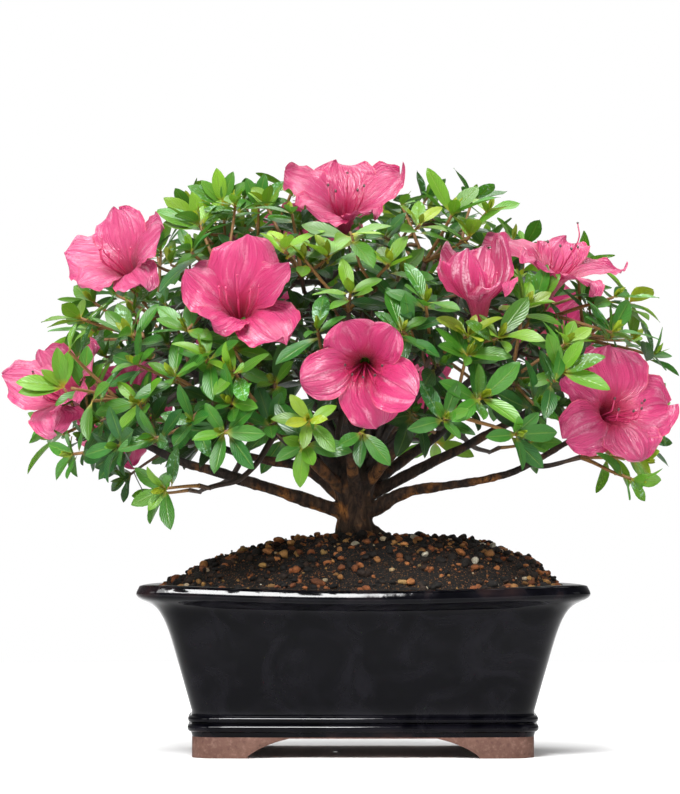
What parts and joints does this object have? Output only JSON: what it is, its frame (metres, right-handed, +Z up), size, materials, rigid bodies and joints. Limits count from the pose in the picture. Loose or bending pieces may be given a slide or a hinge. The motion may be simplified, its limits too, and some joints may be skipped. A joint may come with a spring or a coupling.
{
  "type": "azalea bonsai in a pot",
  "caption": "Azalea bonsai in flower: a low spreading tree with pink blooms over whorled leaves, in a black glazed rectangular pot with clay feet.",
  "frame": {"origin": "on the surface that the pot stands on, under the middle of the whole object's box", "axes": "+X to the right along the pot's long side, +Y to the back, +Z up; the front of the tree looks along -Y"},
  "size_m": [0.3069, 0.248, 0.2743],
  "materials": {
    "glaze": "glossy black glaze, with bare red-brown clay at the feet",
    "mesh": "matte",
    "soil": "coarse dark crumbs with orange and tan grit",
    "bark": "rough brown bark",
    "leaf": "satin green",
    "petal": "soft pink with a sheen"
  },
  "bodies": {
    "root": {"pot": "glaze", "drain_mesh_left": "mesh", "drain_mesh_right": "mesh", "soil": "soil", "trunk_and_branches": "bark", "spray_01": "leaf", "spray_02": "leaf", "spray_03": "leaf", "spray_04": "leaf", "spray_05": "leaf", "spray_06": "leaf", "spray_07": "leaf", "spray_08": "leaf", "spray_09": "leaf", "spray_10": "leaf", "spray_11": "leaf", "spray_12": "leaf", "spray_13": "leaf", "spray_14": "leaf", "spray_15": "leaf", "spray_16": "leaf", "spray_17": "leaf", "spray_18": "leaf", "spray_19": "leaf", "spray_20": "leaf", "spray_21": "leaf", "spray_22": "leaf", "spray_23": "leaf", "spray_24": "leaf", "spray_25": "leaf", "spray_26": "leaf", "spray_27": "leaf", "spray_28": "leaf", "spray_29": "leaf", "spray_30": "leaf", "spray_31": "leaf", "spray_32": "leaf", "spray_33": "leaf", "spray_34": "leaf", "spray_35": "leaf", "spray_36": "leaf", "spray_37": "leaf", "bloom_top_centre": "petal", "bloom_front_centre": "petal", "bloom_front_left": "petal", "bloom_upper_left": "petal", "bloom_low_left": "petal", "bloom_upper_right": "petal", "bloom_right": "petal", "bloom_opening": "petal", "bloom_back_left": "petal", "bloom_back_centre": "petal", "bloom_back_right": "petal", "bloom_back_low_left": "petal", "bloom_top_back": "petal", "bud_left": "petal", "bud_right": "petal"}
  },
  "joints": []
}
